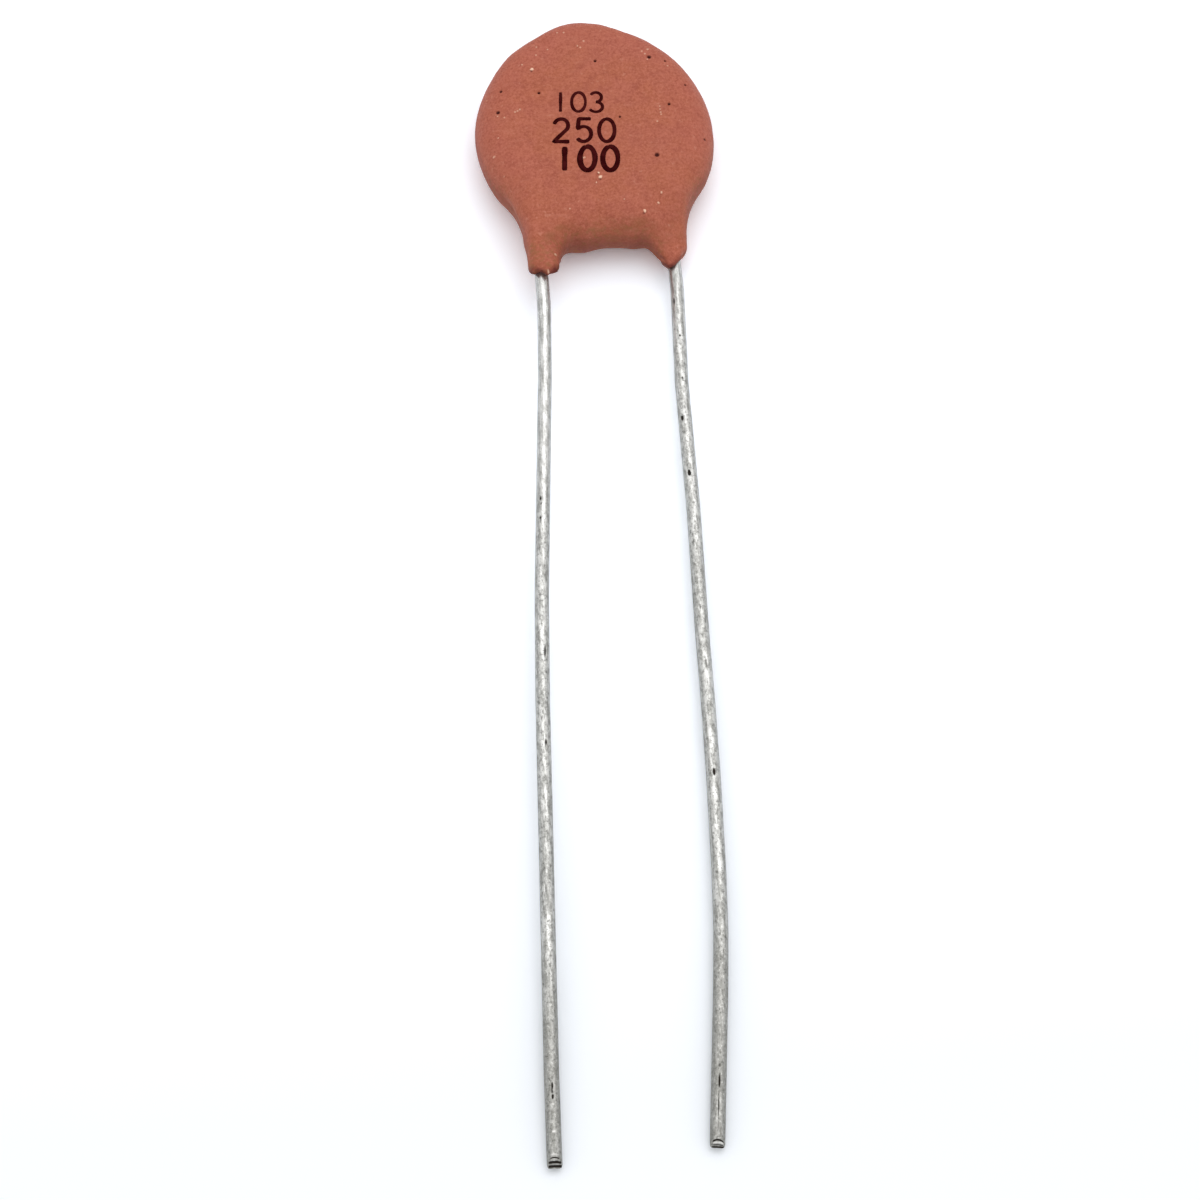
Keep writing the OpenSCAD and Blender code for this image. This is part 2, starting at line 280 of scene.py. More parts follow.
skin = bmesh.new()
skin.from_mesh(even)
smoothSkin(skin, skin.verts, coat["roundsAll"])
smoothSkin(skin, [v for v in skin.verts if v.co.y > coat["discY"]], coat["roundsDisc"])
(lowY, highY), (lowX, highX) = coat["crotchY"], coat["crotchX"]
crotch = [v for v in skin.verts if lowY < v.co.y < highY and lowX < abs(v.co.x) < highX]
smoothSkin(skin, crotch, coat["roundsCrotch"])
skin.normal_update()

# a finer mesh around the small spots
places = np.array([v.co for v in skin.verts])
byASpot = np.zeros(len(places), bool)
for spot in coat["pinholes"] + coat["specks"] + coat["dust"]:
    byASpot |= np.hypot(places[:, 0] - spot[0], places[:, 1] - spot[1]) < spot[2] + coat["fineMargin"]
byASpot &= places[:, 2] > coat["midZ"] + coat["fineRise"]
skin.verts.index_update()
close = [e for e in skin.edges if byASpot[e.verts[0].index] and byASpot[e.verts[1].index]]
bmesh.ops.subdivide_edges(skin, edges=close, cuts=coat["fineCuts"], use_grid_fill=True)
skin.normal_update()

# every spot gets a level, full where none is given
spots = {kind: [(*spot, 1.0)[:4] for spot in coat[kind]]
         for kind in ("pinholes", "specks", "dust", "stains")}


def spotLevel(p, kind, aside=0.0, below=0.0, squash=1.0):  # the strongest of the round spots at a place
    return max([level * dome(math.hypot(p.x - x + aside, (p.y - y + below * r) * squash), r)
                for x, y, r, level in spots[kind]])


def waveAt(p, rise, often):
    return rise * noise.noise(p * often)


def lipStep(p, leg, rise):  # a lip reaches further over the wire above than below
    return min(rise - coat["overhang"] * (p.z - leg["wireZ"]) / coat["overhangRun"], leg["most"])


def leftLegStep(p):
    leg = coat["leftLeg"]
    heel = leg["heel"] * ease(*leg["heelX"], p.x) * ease(*leg["heelY"], p.y)
    lean = ease(*leg["leanX"], p.x) * (leg["lean"] * ease(*leg["leanY"], p.y) + heel)
    ragged = np.interp(p.x + leg["lipShift"], *zip(*leg["lip"])) + waveAt(p, *leg["lipWave"])
    return Vector((lean, ease(*leg["tipY"], p.y) * lipStep(p, leg, ragged - leg["lipDrop"]), 0))


def cornerStep(p, corner):
    x, y, reach, rise = corner
    return rise * dome(math.hypot(p.x - x, p.y - y), reach)


def rightLegStep(p):
    leg = coat["rightLeg"]
    across = p.x - leg["pointX"]
    rise = min(leg["outerRise"] * across if across > 0 else -leg["innerRise"] * across, leg["lipMost"])
    inward = leg["inward"] * ease(*leg["innerX"], p.x) * ease(*leg["innerY"], p.y)
    pull = leg["pull"] * ease(*leg["outerX"], p.x) * ease(*leg["outerY"], p.y)
    tip = ease(*leg["tipY"], p.y) * lipStep(p, leg, rise + waveAt(p, *leg["lipWave"]))
    return Vector((inward - pull, tip + cornerStep(p, coat["rightCorner"]), 0))


def flankStep(p):
    flank = coat["flank"]
    share = dome(abs(p.y - flank["y"]), flank["reach"]) * ease(*flank["x"], p.x) * ease(*flank["z"], p.z)
    return Vector(flank["step"]) * share


def crownStep(p):
    rise = sum(rise * dome(abs(p.x - x), coat["crownWidth"]) for x, rise in coat["crown"])
    return rise * ease(*coat["crownY"], p.y)


def lipGrime(p, n):  # painted shade on the lips around the wires
    grime = coat["grime"]
    if p.x < 0:
        bulge = grime["bulge"] * dome(abs(p.x - grime["bulgeX"]), grime["bulgeReach"])
        return ease(*grime["leftY"], p.y + bulge)
    return ease(*grime["rightFacing"], n.y) * ease(*grime["rightY"], p.y)


# waves, orange peel, pinholes, specks and the worn tips of the legs
marks = {name: [] for name in ("holeAndSpeckShadow", "speckGlintAndDust", "stain", "rim", "web", "edge", "outer")}
moves = []
for v in skin.verts:
    p, n = v.co, v.normal
    onTop = max(0.0, n.z) if p.z > coat["midZ"] else 0.0
    hole = speck = pale = shade = brown = 0.0
    if onTop:
        hole = spotLevel(p, "pinholes") * onTop
        speck = spotLevel(p, "specks", waveAt(p, *coat["speckWander"])) * onTop
        pale = spotLevel(p, "dust") * onTop
        shade = spotLevel(p, "specks", *coat["shadeShift"]) * onTop
        brown = spotLevel(p, "stains", squash=coat["stainSquash"]) * onTop
    height = sum((waveAt(p, *wave) for wave in coat["waves"]), coat["grow"])
    step = n * (height - coat["holeDepth"] * hole + coat["speckRise"] * speck + coat["dustRise"] * pale)
    if p.z < coat["flatZ"]:
        step *= max(0.0, p.z / coat["flatZ"])  # the underside stays flat on the table
    if p.x < 0 and p.y < coat["leftLeg"]["startY"]:
        step += leftLegStep(p)
    if p.x > 0 and p.y < coat["rightLeg"]["startY"]:
        step += rightLegStep(p)
    step += flankStep(p)
    step.y += crownStep(p) + cornerStep(p, coat["leftCorner"])
    moves.append(step)
    grime, leg, under, ring = [coat[key] for key in ("grime", "legShade", "edgeShade", "outerMark")]
    # painted shade: sides that face forward and not up are darkened, and the left leg too; the same mask
    # also places the brown smears
    front = (1 - max(n.z, 0.0)) * max(0.0, -n.y)
    # pinholes darkened, and each speck's painted shadow
    marks["holeAndSpeckShadow"].append(max(hole, coat["shadeShare"] * shade * shade))
    # a painted highlight on the specks, and pale dust
    marks["speckGlintAndDust"].append(max(speck, coat["dustShare"] * pale))
    marks["stain"].append(brown)
    # painted shade on the lips and, in part, on every upright side
    marks["rim"].append(max(lipGrime(p, n), grime["share"] * ease(*grime["upright"], abs(n.z))))
    marks["web"].append(front + leg["share"] * ease(*leg["y"], p.y) * ease(*leg["x"], p.x))
    # painted shade on the web's lower edge, where it faces down and forward
    facing = ease(*under["tilt"], n.z) * ease(*under["facing"], n.y)
    marks["edge"].append(facing * ease(*under["x"], abs(p.x)))
    marks["outer"].append(ease(*ring["r"], math.hypot(p.x, p.y)) * ease(*ring["y"], p.y))
for v, step in zip(skin.verts, moves):
    v.co += step
bmesh.ops.transform(skin, matrix=Matrix.Scale(mm, 4), verts=skin.verts)
skinMesh = bpy.data.meshes.new("coating_skin")
skin.to_mesh(skinMesh)
surface = BVHTree.FromBMesh(skin)
skin.free()
for name, values in marks.items():
    writePoint(skinMesh, name, values)

coatMaterial, tree, shader = startMaterial("dipped_coat")
mottle = addNoise(tree, 1500, 6, rough=0.7)
grain = addNoise(tree, 8000, 4, rough=0.75)
hue = addNoise(tree, 800, 3, rough=0.6)
powder = addNoise(tree, 3400, 3, rough=0.6)
broad = addNoise(tree, 160, 2)
brush = addNoise(tree, 1100, 4, (1, 3.4, 1), 0.65)
smear = addNoise(tree, 3300, 4, (1, 1.5, 1), 0.72)
marked = {name: readPoint(tree, name) for name in marks}
colour = addTint(tree, addRange(tree, mottle, 0.36, 0.64, 0, 1), coat["deep"], coat["pale"])
colour = addTint(tree, 0.5, colour, coat["base"])
colour = addLayers(tree, colour, [
    (broad, 0.35, 0.65, 0.3, coat["cool"]),
    (hue, 0.38, 0.62, 0.45, coat["warm"]),
    (marked["outer"], 0, 1, 0.45, coat["outerColour"]),
    (grain, 0.5, 0.65, 0.85, coat["pale"]),
    (grain, 0.48, 0.33, 0.8, coat["deep"]),
    (brush, 0.54, 0.72, 0.32, coat["brushed"]),
    (powder, 0.63, 0.72, 0.5, coat["powder"]),
    # painted shade on the forward-facing sides and the left leg
    (marked["web"], 0.15, 0.8, 0.18, coat["webColour"]),
])
nearWeb = addRange(tree, marked["web"], 0.06, 0.45, 0, 1)
brownSmear = addMath(tree, "MULTIPLY", addRange(tree, smear, 0.46, 0.64, 0, 0.6), nearWeb)
colour = addTint(tree, brownSmear, colour, coat["smearColour"])
# painted shade on the web's lower edge, broken up by the smear
edgeShadeShare = addMath(tree, "MULTIPLY", addRange(tree, smear, 0.62, 0.38, 0, 0.5), marked["edge"])
colour = addTint(tree, edgeShadeShare, colour, coat["edgeShadeColour"])
# painted shade on the lips and the upright sides, broken up by the mottle
rimShade = addMath(tree, "MULTIPLY", addRange(tree, mottle, 0.38, 0.58, 0.45, 0.92), marked["rim"])
colour = addTint(tree, rimShade, colour, coat["rimColour"])
colour = addLayers(tree, colour, [
    (marked["stain"], 0, 1, 0.55, coat["stainColour"]),
    # dark pinholes and each speck's painted shadow
    (marked["holeAndSpeckShadow"], 0.05, 0.6, 0.95, coat["holeAndShadowColour"]),
    # a painted highlight on the specks, and pale dust
    (marked["speckGlintAndDust"], 0.2, 0.75, 0.9, coat["glintAndDustColour"]),
])
tree.links.new(colour, shader.inputs["Base Color"])
tree.links.new(addRange(tree, mottle, 0.3, 0.7, 0.52, 0.68), shader.inputs["Roughness"])
shader.inputs["Specular IOR Level"].default_value = coat["specular"]
addBump(tree, shader, grain, 0.00002, 0.45)
makePiece("coating_skin", skinMesh, coatMaterial, "coating", "coating")
print("stage: coating", len(skinMesh.polygons), "faces")


# wire leads, millimetres: each follows the solid's route
wire = {
    "r": 0.32, "bendR": 12.0, "exitRun": 0.3, "startIn": 1.1, "sides": 52, "step": 0.085,
    # drawn surface: share of the radius, frequency around, frequency along; then the dent depth at which a
    # dent's painted shade is full
    "waves": [(0.012, 3, 0.9), (0.006, 9, 1.5)], "fullShadeDepth": 0.045,
    # pinched end: angle of its faces, half its edge, run and count of the closer rings, rounded corners
    "cut": 42.0, "edge": 0.018, "tipRun": 0.64, "tipGap": 0.02, "tipRings": 36,
    "cornerRun": 0.2, "tipShare": 0.62,
    # cutter's marks: depth, shift to one side, lowest place, share of full width, faintest that counts
    "markDepth": 0.02, "markShift": 0.02, "markZ": -0.1, "markFull": 0.75, "markLeast": 0.05,
    # kinks: share of the length, turn in degrees
    # dents, painted dark inside as shade: distance along, angle from the top, length, width, depth
    # jaws, the cutter's marks: distance from the end, bow, half width, breadth, level; above zero is
    # painted shade, below zero a painted highlight
    # dullness: distance along, level
    "left": {"x": -3.175, "z": 2.26, "tipY": -7.63, "length": 40.7, "slope": 2.717,
             "kinks": [(0.0125, -4.0), (0.108, -1.3), (0.378, 1.2), (0.501, 0.8), (0.904, 0.7)],
             "dents": [(10.95, -22, 0.16, 0.08, 0.035), (11.2, -16, 0.1, 0.06, 0.03),
                       (11.9, -20, 0.15, 0.07, 0.035), (12.1, -20, 0.1, 0.06, 0.025),
                       (15.6, -14, 0.2, 0.08, 0.02), (18.3, 25, 0.5, 0.08, 0.03),
                       (22.5, 20, 0.25, 0.09, 0.03), (29, -10, 0.4, 0.07, 0.02),
                       (35.4, 0, 0.07, 0.5, 0.012), (37.38, 3, 0.26, 0.05, 0.045),
                       (37.6, 2, 0.16, 0.042, 0.04), (37.82, 4, 0.17, 0.08, 0.04)],
             "jaws": [(0.235, 0.4, 0.28, 0.072, 1.0), (0.085, 0.1, 0.3, 0.07, 1.0),
                      (0.4, 0.9, 0.2, 0.042, 0.85), (0.315, 0.6, 0.22, 0.035, -0.35),
                      (0.53, 0.9, 0.2, 0.08, -0.5), (1.44, 0, 0.08, 0.06, -1.0),
                      (2.55, 0, 0.1, 0.1, -0.55)],
             "dull": [(0, 0), (4, 0.05), (10, 0.15), (13, 0.5), (24, 0.65), (31.5, 0.65), (35, 1.0)]},
    "right": {"x": 3.175, "z": 0.92, "tipY": -7.03, "length": 41.4, "slope": 0.822,
              "kinks": [(0.0125, -3.4), (0.136, 2.3), (0.295, -1.2), (0.443, 0.8), (0.525, -0.7),
                        (0.612, -0.8), (0.714, -1.4), (0.777, -2.0), (0.84, -0.9)],
              "dents": [(1.63, -38, 0.3, 0.07, 0.035), (3.53, 2, 0.1, 0.08, 0.035),
                        (5.77, 8, 0.1, 0.09, 0.035), (7.86, -28, 0.17, 0.1, 0.07),
                        (10.7, -12, 0.2, 0.11, 0.08), (12.2, 6, 0.12, 0.08, 0.02),
                        (17.4, -5, 0.2, 0.08, 0.02), (20.1, 8, 0.35, 0.08, 0.02),
                        (25.2, 5, 0.25, 0.1, 0.05), (38.05, 2, 0.09, 0.1, 0.03),
                        (38.7, 3, 0.5, 0.055, 0.04), (39.7, 1, 0.9, 0.045, 0.028),
                        (40.6, -2, 0.6, 0.04, 0.02)],
              "jaws": [(0.285, 1.5, 0.26, 0.045, 1.0), (0.036, 0.1, 0.28, 0.045, 1.0),
                       (0.11, 0.3, 0.25, 0.03, 0.6), (0.19, 0.8, 0.24, 0.05, -0.9)],
              "dull": [(0, 0), (1.2, 0.2), (3, 0.4), (5, 0.55), (13, 0.55), (15.5, 0.78), (18, 0.78),
                       (20, 0.58), (30.5, 0.62), (34, 1.0)]},
    # colours
    "plain": (0.78, 0.78, 0.765), "patchDark": (0.29, 0.29, 0.27), "patchPale": (0.80, 0.80, 0.775),
    "streakDark": (0.33, 0.33, 0.308), "streakPale": (0.95, 0.95, 0.93), "greyed": (0.345, 0.34, 0.315),
    # the last colour on the next line is painted shade on both flanks of the wire
    "speckDark": (0.15, 0.15, 0.138), "speckPale": (0.85, 0.85, 0.82), "flankShade": (0.2, 0.2, 0.185),
    # the two nick colours are painted shade and a painted highlight for dents and cutter's marks
    "nickShade": (0.016, 0.011, 0.008), "nickGlint": (0.93, 0.92, 0.89), "metallic": 0.9,
}


def wireFrames(lead):  # places along a wire, with its forward, sideways and upward directions
    place = Vector((lead["x"], lead["tipY"] + wire["startIn"], lead["z"]))
    ahead, aside, upward = Vector((0, -1, 0)), Vector((1, 0, 0)), Vector((0, 0, 1))
    runs = [("run", wire["startIn"] + wire["exitRun"], 0), ("pitch", 0, lead["slope"])]
    at = 0.0
    for share, kinkTurn in lead["kinks"]:
        station = share * lead["length"]
        runs += [("run", station - at, 0), ("yaw", 0, kinkTurn)]
        at = station + wire["bendR"] * math.radians(abs(kinkTurn))
    runs.append(("run", lead["length"] - at, 0))
    frames = []
    along = -wire["startIn"] - wire["exitRun"] - wire["bendR"] * math.radians(lead["slope"])
    for kind, length, angle in runs:
        angle = math.radians(angle)
        length = length or wire["bendR"] * abs(angle)
        count = max(2, round(length / wire["step"]))
        for i in range(count):
            frames.append((along, place.copy(), ahead.copy(), aside.copy(), upward.copy()))
            if kind == "run":
                place = place + ahead * (length / count)
            else:
                half = Matrix.Rotation(angle / count / 2, 3, upward if kind == "yaw" else aside)
                ahead, aside, upward = half @ ahead, half @ aside, half @ upward
                place = place + ahead * (length / count)
                ahead, aside, upward = half @ ahead, half @ aside, half @ upward
            along += length / count
    frames.append((along, place, ahead, aside, upward))
    return frames


def closeEnd(frames):  # closer rings over the pinched end
    end, place, ahead, aside, upward = frames[-1]
    rest = [f for f in frames if f[0] < end - wire["tipRun"] - wire["tipGap"]]
    left = [wire["tipRun"] * (1 - k / wire["tipRings"]) for k in range(wire["tipRings"])]
    return rest + [(end - run, place - ahead * run, ahead, aside, upward) for run in left] + [frames[-1]]


def ringPlace(item):
    along, place, ahead, aside, upward = item
    return Matrix.Translation(place) @ Matrix((aside, upward, -ahead)).transposed().to_4x4()


def wirePoint(lead, along, left, x, z):  # a ring's point, with waves, dents, pinched end and marks, and the painted shade and highlight of the dents and marks
    angle = math.degrees(math.atan2(x, z))
    r = wire["r"]
    for share, around, lengthwise in wire["waves"]:
        r += wire["r"] * share * noise.noise(Vector((x * around, along * lengthwise, z * around)))
    # painted shade in the dents and the cutter's marks, below zero a painted highlight
    dark = 0.0
    for at, spin, length, width, depth in lead["dents"]:
        across = math.radians(angle - spin) * wire["r"]
        dent = dome(math.hypot((along - at) / length, across / width), 1.0)
        r -= depth * dent
        dark = max(dark, min(1.0, dent * depth / wire["fullShadeDepth"]))
    x, z = x * r / wire["r"], z * r / wire["r"]
    limit = wire["edge"] + left * math.tan(math.radians(wire["cut"]))
    if abs(z) > limit:  # the two faces of the pinched end
        z = math.copysign(limit, z)
    if left < wire["cornerRun"]:  # rounded corners, seen from above
        rounded = math.sqrt(1 - (1 - left / wire["cornerRun"]) ** 2)
        x *= wire["tipShare"] + (1 - wire["tipShare"]) * rounded
    if z > wire["markZ"]:
        for at, bow, half, breadth, level in lead["jaws"]:
            inside = ease(half, half * wire["markFull"], abs(x - wire["markShift"]))
            mark = dome(abs(left + bow * x * x - at), breadth) * inside
            if mark > wire["markLeast"]:
                dark = max(dark, mark * level) if level > 0 else min(dark, mark * level)
                z -= wire["markDepth"] * mark * level
    return x, z, dark


def wireMesh(name, lead):
    frames = closeEnd(wireFrames(lead))
    end = frames[-1][0]
    tube = bmesh.new()
    nickShadeLayer, dullLayer, flankShadeLayer = [tube.verts.layers.float.new(n) for n in ("nickShadeAndGlint", "dull", "side")]
    ring = bmesh.ops.create_circle(tube, segments=wire["sides"], radius=wire["r"],
                                   matrix=ringPlace(frames[0]))["verts"]
    loops = [ring]
    bmesh.ops.contextual_create(tube, geom=list({e for v in ring for e in v.link_edges}))
    edges = list({e for v in ring for e in v.link_edges})
    for before, item in zip(frames, frames[1:]):
        made = bmesh.ops.extrude_edge_only(tube, edges=edges)["geom"]
        ring = [g for g in made if isinstance(g, bmesh.types.BMVert)]
        edges = [g for g in made if isinstance(g, bmesh.types.BMEdge)
                 and g.verts[0] in ring and g.verts[1] in ring]
        bmesh.ops.transform(tube, matrix=ringPlace(item) @ ringPlace(before).inverted(), verts=ring)
        loops.append(ring)
    for (along, place, ahead, aside, upward), ring in zip(frames, loops):
        dull = np.interp(along, *zip(*lead["dull"]))
        for v in ring:
            offset = v.co - place
            x, z, dark = wirePoint(lead, along, end - along, offset.dot(aside), offset.dot(upward))
            v.co = place + aside * x + upward * z
            v[nickShadeLayer] = dark
            v[dullLayer] = dull
            # how far to the side a point lies, for the painted shade on the flanks
            v[flankShadeLayer] = abs(x) / wire["r"]
    bmesh.ops.contextual_create(tube, geom=edges)
    bmesh.ops.recalc_face_normals(tube, faces=tube.faces)
    bmesh.ops.transform(tube, matrix=Matrix.Scale(mm, 4), verts=tube.verts)
    mesh = bpy.data.meshes.new(name)
    tube.to_mesh(mesh)
    tube.free()
    return mesh


tinMaterial, tree, shader = startMaterial("tinned_wire")
streak = addNoise(tree, 8500, 4, (1, 0.085, 1), 0.65)
patch = addNoise(tree, 5200, 4, (1, 0.42, 1), 0.65)
speckle = addNoise(tree, 9500, 3, (1, 0.75, 1), 0.7)
dull, nickShadeAndGlint, flank = [readPoint(tree, name) for name in ("dull", "nickShadeAndGlint", "side")]
mottled = addTint(tree, addRange(tree, patch, 0.38, 0.62, 0, 1), wire["patchDark"], wire["patchPale"])
colour = addTint(tree, addRange(tree, dull, 0, 0.6, 0.5, 0.85), wire["plain"], mottled)
colour = addLayers(tree, colour, [
    (streak, 0.52, 0.61, 0.7, wire["streakDark"]),
    (streak, 0.46, 0.36, 0.72, wire["streakPale"]),
    (dull, 0.65, 1, 0.64, wire["greyed"]),
])
roughened = addRange(tree, dull, 0, 0.6, 0.4, 1)
for start, full, share, tint in ((0.46, 0.34, 0.75, "speckDark"), (0.55, 0.68, 0.7, "speckPale")):
    dots = addMath(tree, "MULTIPLY", addRange(tree, speckle, start, full, 0, share), roughened)
    colour = addTint(tree, dots, colour, wire[tint])
colour = addLayers(tree, colour, [
    # painted shade on both flanks of the wire
    (flank, 0.45, 1, 0.6, wire["flankShade"]),
    # painted shade in dents and cutter's marks, and painted highlights on the cutter's marks
    (nickShadeAndGlint, 0.1, 0.5, 0.98, wire["nickShade"]),
    (nickShadeAndGlint, -0.1, -0.9, 0.9, wire["nickGlint"]),
])
tree.links.new(colour, shader.inputs["Base Color"])
shader.inputs["Metallic"].default_value = wire["metallic"]
patchRough = addRange(tree, patch, 0.3, 0.7, 0.36, 0.24)
gloss = addMath(tree, "ADD", patchRough, addRange(tree, dull, 0, 1, 0, 0.24))
tree.links.new(gloss, shader.inputs["Roughness"])
addBump(tree, shader, addMath(tree, "ADD", streak, patch), 0.00003, 0.4)
for side in ("left", "right"):
    mesh = wireMesh(side + "_wire", wire[side])
    makePiece(side + "_wire", mesh, tinMaterial, "tinned_wire", side + "_lead")
    print("stage:", side, "wire", len(mesh.polygons), "faces")


# ink: plain stamped numbers, millimetres, on the upper face
ink = {
    "turn": -5.04, "lift": 0.012, "pile": 0.0006, "thick": 0.04, "step": 0.05,
    "uneven": 0.22, "unevenOften": 2.3, "bluntEnd": 0.03,
    # rows: text, x and y of the lower left corner, glyph width, height, pitch, stroke width
    "rows": [("103", -1.94, 0.62, 0.72, 1.12, 0.86, 0.15), ("250", -2.08, -1.1, 0.8, 1.3, 1.08, 0.19),
             ("100", -2.05, -2.74, 0.78, 1.34, 1.08, 0.25)],
    "dark": (0.032, 0.002, 0.0025), "light": (0.07, 0.008, 0.008), "specular": 0.015,
}


def arc(x, y, rx, ry, start, stop, count=18):
    angles = [math.radians(start + (stop - start) * i / count) for i in range(count + 1)]
    return [(x + rx * math.cos(a), y + ry * math.sin(a)) for a in angles]


strokes = {  # in a glyph one wide and one high
    "0": arc(0.5, 0.5, 0.46, 0.5, 100, 462, 36),
    "1": [(0.5, 1), (0.5, 0)],
    "2": arc(0.48, 0.7, 0.42, 0.3, 165, -28) + [(0.05, 0), (0.98, 0)],
    "3": arc(0.45, 0.75, 0.38, 0.25, 150, -90) + arc(0.45, 0.25, 0.45, 0.26, 90, -150),
    "5": [(0.9, 1), (0.18, 1), (0.12, 0.57)] + arc(0.47, 0.33, 0.45, 0.33, 130, -145),
}


def evenPath(points, step):
    lengths = [math.dist(a, b) for a, b in zip(points, points[1:])]
    total = sum(lengths)
    count = max(3, round(total / step))
    path = []
    for i in range(count + 1):
        s = total * i / count
        for a, b, length in zip(points, points[1:], lengths):
            if s <= length + 1e-9:
                k = s / length if length else 0
                path.append((a[0] + (b[0] - a[0]) * k, a[1] + (b[1] - a[1]) * k))
                break
            s -= length
    return path, total


def onCoat(x, y, lift):
    hit = surface.ray_cast(Vector((x, y, 10)) * mm, Vector((0, 0, -1)))[0]
    return Vector((x * mm, y * mm, hit.z + lift * mm))


def strokePairs(path, total, corner, stroke, order):  # both edges of a stroke, laid on the coat
    slope = math.radians(ink["turn"])
    pairs = []
    for i, (px, py) in enumerate(path):
        a, b = path[max(i - 1, 0)], path[min(i + 1, len(path) - 1)]
        along = Vector((b[0] - a[0], b[1] - a[1])).normalized()
        gone = min(i, len(path) - 1 - i) * total / (len(path) - 1)
        often = ink["unevenOften"]
        half = stroke / 2 * (1 + ink["uneven"] * noise.noise(Vector((px * often, py * often, order))))
        if gone < half:
            half *= math.sqrt(1 - (1 - min(1.0, (gone + ink["bluntEnd"]) / half)) ** 2)
        pair = []
        for sign in (-1, 1):
            qx, qy = px - sign * along.y * half, py + sign * along.x * half
            x = corner[0] + qx * math.cos(slope) - qy * math.sin(slope)
            y = corner[1] + qx * math.sin(slope) + qy * math.cos(slope)
            pair.append(onCoat(x, y, ink["lift"] + ink["pile"] * order))
        pairs.append(pair)
    return pairs


stamp = bmesh.new()
order = 0
for text, x0, y0, width, height, pitch, stroke in ink["rows"]:
    for place, letter in enumerate(text):
        flat = [(place * pitch + px * width, py * height) for px, py in strokes[letter]]
        path, total = evenPath(flat, ink["step"])
        order += 1
        pairs = strokePairs(path, total, (x0, y0), stroke, order)
        front = stamp.edges.new([stamp.verts.new(p) for p in pairs[0]])
        for before, pair in zip(pairs, pairs[1:]):
            grown = bmesh.ops.extrude_edge_only(stamp, edges=[front])["geom"]
            front = next(g for g in grown if isinstance(g, bmesh.types.BMEdge)
                         and all(v in grown for v in g.verts))
            first, second = [(v.co - before[0]).length for v in front.verts]
            front.verts[0].co, front.verts[1].co = reversed(pair) if first > second else pair
bmesh.ops.recalc_face_normals(stamp, faces=stamp.faces)
for face in stamp.faces:
    if face.normal.z < 0:
        face.normal_flip()
grown = bmesh.ops.extrude_face_region(stamp, geom=stamp.faces[:], use_keep_orig=True)["geom"]
lower = [g for g in grown if isinstance(g, bmesh.types.BMVert)]
bmesh.ops.translate(stamp, vec=(0, 0, -ink["thick"] * mm), verts=lower)
bmesh.ops.recalc_face_normals(stamp, faces=stamp.faces)
inkMesh = bpy.data.meshes.new("stamped_numbers")
stamp.to_mesh(inkMesh)
stamp.free()

inkMaterial, tree, shader = startMaterial("stamp_ink")
blot = addNoise(tree, 2600, 4)
colour = addTint(tree, addRange(tree, blot, 0.4, 0.72, 0, 1), ink["dark"], ink["light"])
tree.links.new(colour, shader.inputs["Base Color"])
tree.links.new(addRange(tree, blot, 0.3, 0.7, 0.75, 0.9), shader.inputs["Roughness"])
shader.inputs["Specular IOR Level"].default_value = ink["specular"]
makePiece("stamped_numbers", inkMesh, inkMaterial, "coating")
print("stage: ink", len(inkMesh.polygons), "faces")


# the sealed inner solids keep their shape and get their own finish: dark, light, roughness, metal
ceramic = ((0.46, 0.34, 0.21), (0.56, 0.43, 0.29), 0.75, 0.0)
silver = ((0.62, 0.62, 0.60), (0.74, 0.74, 0.72), 0.45, 0.9)
solder = ((0.34, 0.35, 0.36), (0.46, 0.47, 0.48), 0.4, 0.9)
roughSpread = 0.08
finishes = {"ceramic_disc": ceramic, "upper_electrode": silver, "lower_electrode": silver,
            "upper_solder": solder, "lower_solder": solder}
for name, (dark, light, roughness, metal) in finishes.items():
    material, tree, shader = startMaterial(name)
    cloud = addNoise(tree, 1200, 5)
    colour = addTint(tree, addRange(tree, cloud, 0.35, 0.65, 0, 1), dark, light)
    tree.links.new(colour, shader.inputs["Base Color"])
    gloss = addRange(tree, cloud, 0.3, 0.7, roughness - roughSpread, roughness + roughSpread)
    tree.links.new(gloss, shader.inputs["Roughness"])
    shader.inputs["Metallic"].default_value = metal
    addBump(tree, shader, cloud, 0.00002, 0.3)
    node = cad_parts[name]
    node.data.materials.clear()
    node.data.materials.append(material)
print("stage: inner finishes")


# white table, a pale sky and one broad lamp overhead, metres
studio = {
    "tableHalf": 2.0, "tableColour": (0.96, 0.965, 0.97, 1), "tableRough": 0.9, "tableSpecular": 0.1,
    # brightness added where the table is seen, straight or mirrored, from the wires' ends to the body
    "liftY": (-0.046, -0.012), "liftEnds": (0.0, 0.03, 0.07), "liftBody": (0.24, 0.285, 0.35),
    "skyLow": 0.28, "skyHigh": 0.88, "skyRise": 0.4,
    "lampSize": 0.34, "lampPower": 0.34, "lampPlace": (0.063, 0.093, 0.35), "lampAim": (0, -0.01, 0),
}

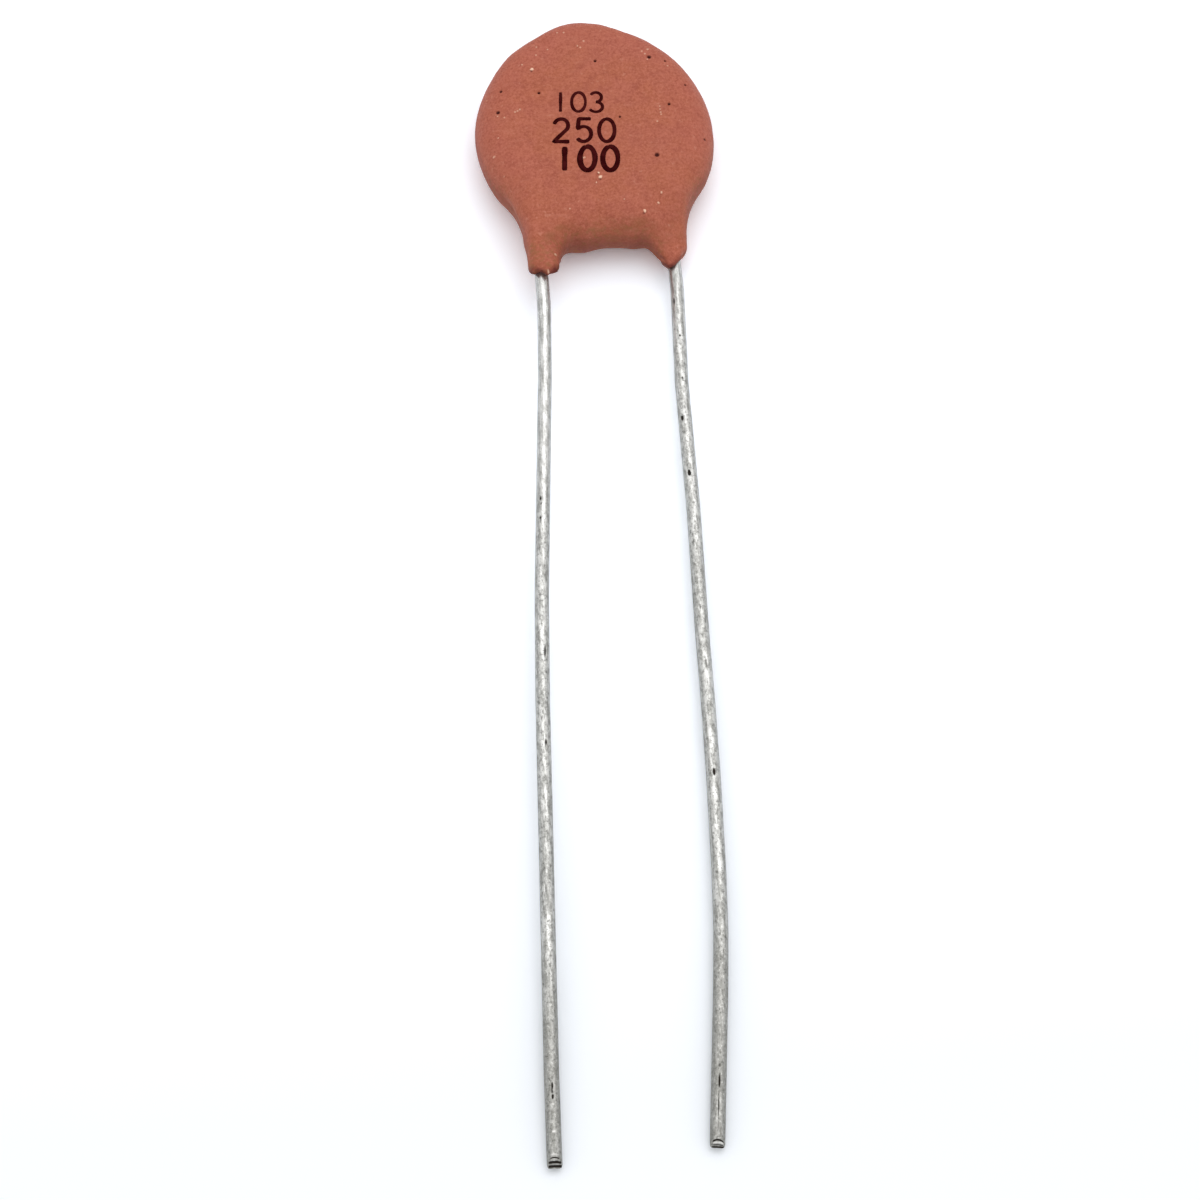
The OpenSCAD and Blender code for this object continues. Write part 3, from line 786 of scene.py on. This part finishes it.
floorMesh = bpy.data.meshes.new("table")
floorShape = bmesh.new()
bmesh.ops.create_grid(floorShape, x_segments=2, y_segments=2, size=studio["tableHalf"])
floorShape.to_mesh(floorMesh)
floorShape.free()
floor = bpy.data.objects.new("table", floorMesh)
scene.collection.objects.link(floor)
floorMaterial, tree, shader = startMaterial("white_table")
shader.inputs["Base Color"].default_value = studio["tableColour"]
shader.inputs["Roughness"].default_value = studio["tableRough"]
shader.inputs["Specular IOR Level"].default_value = studio["tableSpecular"]
# the photograph is a little overexposed: to the camera the paper is brighter than white
paths = addNode(tree, "LightPath").outputs
seen = addMath(tree, "MAXIMUM", paths["Is Camera Ray"], paths["Is Glossy Ray"])
seen = addMath(tree, "MAXIMUM", seen, paths["Is Transmission Ray"])
place = addNode(tree, "TexCoord").outputs["Object"]
nearBody = addRange(tree, addNode(tree, "SeparateXYZ", {0: place}).outputs["Y"], *studio["liftY"], 0, 1)
lift = addTint(tree, nearBody, studio["liftEnds"], studio["liftBody"])
more = addNode(tree, "BsdfDiffuse", {"Color": lift})
none = addNode(tree, "BsdfDiffuse", {"Color": (0, 0, 0, 1)})
lifted = addNode(tree, "MixShader", {0: seen, 1: none.outputs[0], 2: more.outputs[0]})
both = addNode(tree, "AddShader", {0: shader.outputs[0], 1: lifted.outputs[0]})
tree.links.new(both.outputs[0], tree.nodes["Material Output"].inputs["Surface"])
floorMesh.materials.append(floorMaterial)

world = bpy.data.worlds.new("studio")
scene.world = world
world.use_nodes = True
tree = world.node_tree
toSky = addNode(tree, "SeparateXYZ", {0: addNode(tree, "TexCoord").outputs["Generated"]}).outputs["Z"]
level = addRange(tree, toSky, 0.0, studio["skyRise"], studio["skyLow"], studio["skyHigh"])
tree.links.new(level, tree.nodes["Background"].inputs["Strength"])
tree.nodes["Background"].inputs["Color"].default_value = (1, 1, 1, 1)

lampData = bpy.data.lights.new("overhead", "AREA")
lampData.shape = "DISK"
lampData.size = studio["lampSize"]
lampData.energy = studio["lampPower"]
lamp = bpy.data.objects.new("overhead", lampData)
scene.collection.objects.link(lamp)
lamp.location = studio["lampPlace"]
lamp.rotation_euler = (Vector(studio["lampAim"]) - lamp.location).to_track_quat("-Z", "Y").to_euler()

scene.view_settings.view_transform = "Standard"
print("stage: light")
